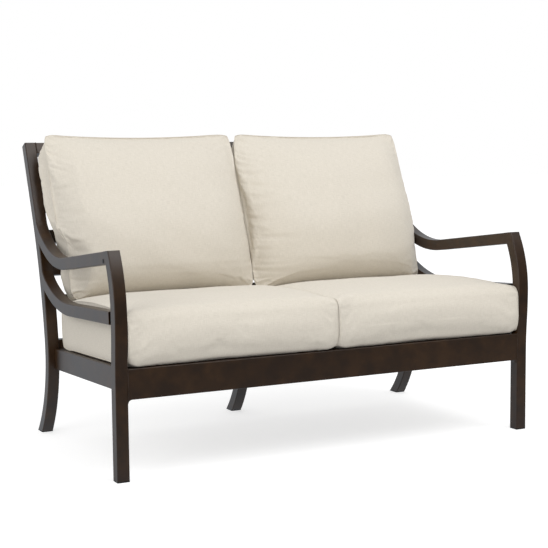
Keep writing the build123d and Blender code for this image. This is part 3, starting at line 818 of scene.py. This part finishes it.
coil_nylon, slider_zinc = nylon_coil(), lacquered_zinc()
back_zip_row = 5
zip_share = 0.7
lip_radius, coil_wire_radius = 0.0010, 0.00045
coil_sunk = slider_lift = 0.0006
slider_half_sizes, pull_half_sizes = (0.0050, 0.0036, 0.0019), (0.0095, 0.0024, 0.0006)
slider_setback_mm = 18
pull_setback, pull_lift = 0.009, 0.0016
for name in covers:
    grid = cover_grids(name)[0]
    row = seat_rows if "seat" in name else back_zip_row
    middle, half = (seat_middle, seat_half_width) if "seat" in name else (back_middle, back_half_width)
    opened = np.abs(np.abs(grid[row, :, 0]) - middle) < zip_share * half
    path, above, below = (grid[row + step, opened] for step in (0, 1, -1))
    out = np.cross(path[-1] - path[0], (above - below).mean(axis=0))
    out *= np.sign(out @ (path.mean(axis=0) - grid.reshape(-1, 3).mean(axis=0))) / np.linalg.norm(out)
    lips = np.vstack([above, below[::-1]])
    lip_loop = (lips, np.broadcast_to(out, lips.shape))
    ribs(f"{name}_zip_lips", [lip_loop], lip_radius, name, cover_cloth)
    coil_loop = zip_coil(path - coil_sunk * out, out)
    coil = ribs(f"{name}_zip_coil", [coil_loop], coil_wire_radius, name, coil_nylon, sides=5)
    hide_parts(f"{name}_zip")
    along = (path[2] - path[0]) / np.linalg.norm(path[2] - path[0])
    axes = np.array([along, np.cross(out, along), out])
    place = evenly(path, 0.001)[slider_setback_mm]
    body = rounded_block(place + slider_lift * out, axes, slider_half_sizes)
    pull = rounded_block(place - pull_setback * along + pull_lift * out, axes, pull_half_sizes)
    slider, vertex = sewn_cover(f"{name}_zip_slider", body + pull, slider_zinc)
    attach(slider, name)


# Studio: a pale floor, a white surround, one large soft lamp above the front right and
# a weaker one on the left. None of it is part of the loveseat.
def ramp_over(material, value, span, ends, **settings):
    """Value that goes from one end to the other while another crosses a span."""
    limits = {"Value": value, "From Min": span[0], "From Max": span[1], "To Min": ends[0], "To Max": ends[1]}
    return add_node(material, "ShaderNodeMapRange", limits, **settings).outputs["Result"]


def colour_by_ray(material, ray, others, code):
    """Colour with one sRGB code for a kind of ray and another for all others."""
    mix = add_node(material, "ShaderNodeMix", {"Factor": ray}, data_type="RGBA")
    mix.inputs["A"].default_value, mix.inputs["B"].default_value = srgb(others), srgb(code)
    return mix.outputs["Result"]


def studio_floor():
    """Matt grey floor that the camera sees as white, with the object's shadow. In the gloss of the frame it
    is a painted reflection, seen by glossy rays only: dark grey in front, and glowing pale blue behind the
    object."""
    material, shader = new_finish("white_studio_floor")
    shader.inputs["Roughness"].default_value = 0.9
    shader.inputs["Specular IOR Level"].default_value = 0.1
    rays = add_node(material, "ShaderNodeLightPath").outputs
    place = add_node(material, "ShaderNodeTexCoord").outputs["Object"]
    depth = add_node(material, "ShaderNodeSeparateXYZ", {"Vector": place}).outputs["Y"]
    # Painted reflection: for glossy rays the floor glows pale blue behind the object and is dark grey in
    # front of it.
    behind = ramp_over(material, depth, (-2.6, 0.8), (0.0, 0.85), interpolation_type="SMOOTHSTEP")
    painted_reflection_strength = calculate(material, "MULTIPLY", rays["Is Glossy Ray"], behind)
    seen = calculate(material, "MULTIPLY", rays["Is Camera Ray"], 0.64)
    connect(material, calculate(material, "MAXIMUM", seen, painted_reflection_strength), shader.inputs["Emission Strength"])
    white_and_painted_reflection_glow = colour_by_ray(material, rays["Is Glossy Ray"], "#ffffff", "#dfe9f2")
    connect(material, white_and_painted_reflection_glow, shader.inputs["Emission Color"])
    floor_grey_and_painted_reflection = colour_by_ray(material, rays["Is Glossy Ray"], "#cdcdcd", "#3c3c3c")
    connect(material, floor_grey_and_painted_reflection, shader.inputs["Base Color"])
    return material


floor_mesh = bpy.data.meshes.new("studio_floor")
far = 30
floor_mesh.from_pydata([(-far, -far, 0), (far, -far, 0), (far, far, 0), (-far, far, 0)], [], [(0, 1, 2, 3)])
floor = bpy.data.objects.new("studio_floor", floor_mesh)
floor.data.materials.append(studio_floor())
bpy.context.scene.collection.objects.link(floor)

world = bpy.data.worlds.new("white_surround")
bpy.context.scene.world = world
world.use_nodes = True
world.node_tree.nodes.clear()
rays = add_node(world, "ShaderNodeLightPath").outputs
direction = add_node(world, "ShaderNodeTexCoord").outputs["Generated"]
heading = add_node(world, "ShaderNodeSeparateXYZ", {"Vector": direction}).outputs
# Painted reflection: glossy rays see a pale blue surround that brightens behind the loveseat and overhead,
# while diffuse rays get an even dim white and the camera sees plain white.
behind = ramp_over(world, heading["Y"], (-0.75, 0.1), (0.12, 1.0))
above = ramp_over(world, heading["Z"], (0.45, 0.95), (0.0, 1.0))
painted_reflection_strength = calculate(world, "MAXIMUM", behind, above)
seen = calculate(world, "MAXIMUM", rays["Is Camera Ray"], rays["Is Transmission Ray"])
dim = add_node(world, "ShaderNodeBackground", {"Color": (1, 1, 1, 1), "Strength": 0.74})
white = add_node(world, "ShaderNodeBackground", {"Color": (1, 1, 1, 1), "Strength": 1.0})
painted_reflection_surround = add_node(world, "ShaderNodeBackground", {"Color": srgb("#e9f1f8"), "Strength": painted_reflection_strength})
unseen = add_node(world, "ShaderNodeMixShader",
                  {0: rays["Is Glossy Ray"], 1: dim.outputs[0], 2: painted_reflection_surround.outputs[0]})
surround = add_node(world, "ShaderNodeMixShader", {0: seen, 1: unseen.outputs[0], 2: white.outputs[0]})
add_node(world, "ShaderNodeOutputWorld", {"Surface": surround.outputs[0]})


def lamp(name, place, target, size, power):
    """Square area lamp at a place, turned to a target."""
    data = bpy.data.lights.new(name, "AREA")
    data.shape = "SQUARE"
    data.size = size
    data.energy = power
    light = bpy.data.objects.new(name, data)
    light.location = place
    light.rotation_euler = (Vector(target) - Vector(place)).to_track_quat("-Z", "Y").to_euler()
    bpy.context.scene.collection.objects.link(light)


lamp("key_lamp", (0.9, -2.0, 3.7), (0, 0, 0.4), 2.6, 62)
lamp("fill_lamp", (-3.6, -1.6, 1.8), (0, 0, 0.4), 2.4, 36)

# Camera: where the photograph was taken from, worked out from the frame's edges.
camera_place = (-1.7464, -3.45709, 0.8648)
yaw, pitch, roll = np.radians(26.854), np.radians(5.601), np.radians(-0.544)
focal_length_px, photo_width_px, sensor_width_mm = 1244.92, 548, 36.0
ahead = np.array([np.sin(yaw) * np.cos(pitch), np.cos(yaw) * np.cos(pitch), -np.sin(pitch)])
level = np.array([np.cos(yaw), -np.sin(yaw), 0.0])
upright = np.cross(level, ahead)
right_way = np.cos(roll) * level + np.sin(roll) * upright
up_way = -np.sin(roll) * level + np.cos(roll) * upright
camera_data = bpy.data.cameras.new("camera")
camera_data.sensor_width = sensor_width_mm
camera_data.lens = focal_length_px / photo_width_px * sensor_width_mm
camera_data.clip_start, camera_data.clip_end = 0.05, 100
camera = bpy.data.objects.new("camera", camera_data)
turn = Matrix(np.column_stack([right_way, up_way, -ahead]).tolist())
camera.matrix_world = Matrix.Translation(camera_place) @ turn.to_4x4()
bpy.context.scene.collection.objects.link(camera)
bpy.context.scene.camera = camera
bpy.context.scene.view_settings.view_transform = "Standard"
